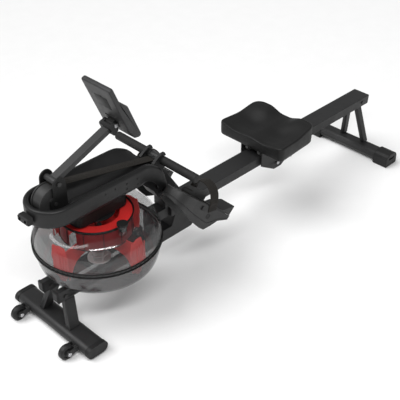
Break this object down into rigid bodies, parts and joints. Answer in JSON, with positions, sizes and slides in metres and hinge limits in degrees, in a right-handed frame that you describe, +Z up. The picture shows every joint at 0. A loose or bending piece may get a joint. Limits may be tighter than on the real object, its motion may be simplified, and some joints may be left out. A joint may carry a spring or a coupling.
{
  "type": "rowing machine",
  "caption": "Rowing exerciser with a sliding seat on a long rail, strap-pulled handle, foot plates, tilting console and a clear water tank with a paddle rotor.",
  "frame": {"origin": "centre of the floor footprint, on the floor", "axes": "+X from the tank end to the seat-rail end, +Y to the left, +Z up"},
  "size_m": [2.032, 0.503, 0.9613],
  "materials": {
    "frame_black": "satin powder coat",
    "plastic_black": "matt",
    "rubber_black": "matt",
    "wheel_plastic": "satin",
    "steel_bright": "zinc plated",
    "screw_dark": "black oxide",
    "tank_clear": "smoky clear polycarbonate",
    "bearing_white": "semi gloss",
    "rotor_red": "semi gloss",
    "pulley_grey": "satin",
    "cover_grey": "fine texture",
    "arm_grey": "satin powder coat",
    "console_grey": "satin",
    "screen_glass": "glossy",
    "bar_black": "satin",
    "grip_foam": "fine foam",
    "clip_steel": "satin",
    "webbing": "woven webbing",
    "foot_grey": "ribbed sole",
    "seat_foam": "moulded foam skin",
    "roller_grey": "smooth"
  },
  "bodies": {
    "frame": {"front_stabilizer": "frame_black", "front_uprights": "frame_black", "lower_tubes": "frame_black", "centre_beam": "frame_black", "pillar": "frame_black", "seat_rail": "frame_black", "rear_legs": "frame_black", "rear_stabilizer": "frame_black", "head_frame": "frame_black", "wheel_brackets": "frame_black", "pivot_bracket": "frame_black", "front_caps": "plastic_black", "lower_tube_caps": "plastic_black", "rear_caps": "plastic_black", "drive_housing": "plastic_black", "front_hook": "plastic_black", "speed_sensor": "plastic_black", "bearing_flange": "plastic_black", "strap_buckles": "plastic_black", "fork_holder": "plastic_black", "foot_axle": "plastic_black", "front_feet": "rubber_black", "tank_gasket": "rubber_black", "wheel_pins": "steel_bright", "frame_bolts": "steel_bright", "head_pins": "steel_bright", "flange_screws": "screw_dark", "cover_screws": "screw_dark", "tank_bowl": "tank_clear", "tank_dome": "tank_clear", "lower_bearing": "bearing_white", "head_cover": "cover_grey", "foot_straps": "webbing", "foot_plates": "foot_grey"},
    "rotor_body": {"rotor": "rotor_red", "rotor_shaft": "steel_bright", "drive_pulley": "pulley_grey"},
    "plug": {"filler_plug": "plastic_black"},
    "roller": {"strap_roller": "pulley_grey"},
    "handle": {"handlebar": "bar_black", "grips": "grip_foam", "strap_clip": "clip_steel", "pull_strap": "webbing"},
    "arm": {"console_arm": "arm_grey", "console_clamp": "plastic_black", "tilt_pin": "steel_bright"},
    "console": {"console_body": "console_grey", "console_screen": "screen_glass"},
    "heel_left": {"heel_cup_left": "foot_grey"},
    "heel_right": {"heel_cup_right": "foot_grey"},
    "seat": {"seat_cushion": "seat_foam", "seat_carriage": "frame_black", "carriage_pins": "steel_bright"},
    "top_front": {"top_rollers_front": "roller_grey"},
    "top_rear": {"top_rollers_rear": "roller_grey"},
    "low_front": {"low_roller_front": "roller_grey"},
    "low_rear": {"low_roller_rear": "roller_grey"},
    "wheel_l": {"wheel_left": "wheel_plastic"},
    "wheel_r": {"wheel_right": "wheel_plastic"}
  },
  "joints": [
    {"name": "rotor_spin", "type": "hinge", "parent": "frame", "child": "rotor_body", "pos_m": [-0.684, 0, 0.4], "axis": [0, 0, 1], "continuous": true},
    {"name": "plug_lift", "type": "slide", "parent": "frame", "child": "plug", "axis": [0, 0, 1], "range_m": [0, 0.04]},
    {"name": "handle_pull", "type": "slide", "parent": "frame", "child": "handle", "axis": [1, 0, 0], "range_m": [0, 0.9], "deforming": ["pull_strap"]},
    {"name": "roller_spin", "type": "hinge", "parent": "frame", "child": "roller", "pos_m": [-0.879, 0, 0.595], "axis": [0, 1, 0], "continuous": true},
    {"name": "arm_pivot", "type": "hinge", "parent": "frame", "child": "arm", "pos_m": [-0.858, 0, 0.666], "axis": [0, 1, 0], "range_deg": [-30, 12]},
    {"name": "console_tilt", "type": "hinge", "parent": "arm", "child": "console", "pos_m": [-0.58621, 0, 0.78189], "axis": [0, 1, 0], "range_deg": [-15, 15]},
    {"name": "heel_left_slide", "type": "slide", "parent": "frame", "child": "heel_left", "axis": [-0.7361, 0, 0.6769], "range_m": [0, 0.07]},
    {"name": "heel_right_slide", "type": "slide", "parent": "frame", "child": "heel_right", "axis": [-0.7361, 0, 0.6769], "range_m": [0, 0.07]},
    {"name": "seat_slide", "type": "slide", "parent": "frame", "child": "seat", "axis": [1, 0, 0], "range_m": [-0.36, 0.5]},
    {"name": "top_front_roll", "type": "hinge", "parent": "seat", "child": "top_front", "pos_m": [0.217, 0, 0.3224], "axis": [0, 1, 0], "continuous": true},
    {"name": "top_rear_roll", "type": "hinge", "parent": "seat", "child": "top_rear", "pos_m": [0.385, 0, 0.3224], "axis": [0, 1, 0], "continuous": true},
    {"name": "low_front_roll", "type": "hinge", "parent": "seat", "child": "low_front", "pos_m": [0.299, 0, 0.2406], "axis": [0, 1, 0], "continuous": true},
    {"name": "low_rear_roll", "type": "hinge", "parent": "seat", "child": "low_rear", "pos_m": [0.389, 0, 0.2406], "axis": [0, 1, 0], "continuous": true},
    {"name": "wheel_l_roll", "type": "hinge", "parent": "frame", "child": "wheel_l", "pos_m": [-0.9845, 0.15, 0.0315], "axis": [0, 1, 0], "continuous": true},
    {"name": "wheel_r_roll", "type": "hinge", "parent": "frame", "child": "wheel_r", "pos_m": [-0.9845, -0.15, 0.0315], "axis": [0, 1, 0], "continuous": true}
  ],
  "couplings": [
    {"joint": "roller_spin", "follows": "handle_pull", "rad_per_m": 20},
    {"joint": "top_front_roll", "follows": "seat_slide", "rad_per_m": 52.632},
    {"joint": "top_rear_roll", "follows": "seat_slide", "rad_per_m": 52.632},
    {"joint": "low_front_roll", "follows": "seat_slide", "rad_per_m": -58.824},
    {"joint": "low_rear_roll", "follows": "seat_slide", "rad_per_m": -58.824}
  ]
}
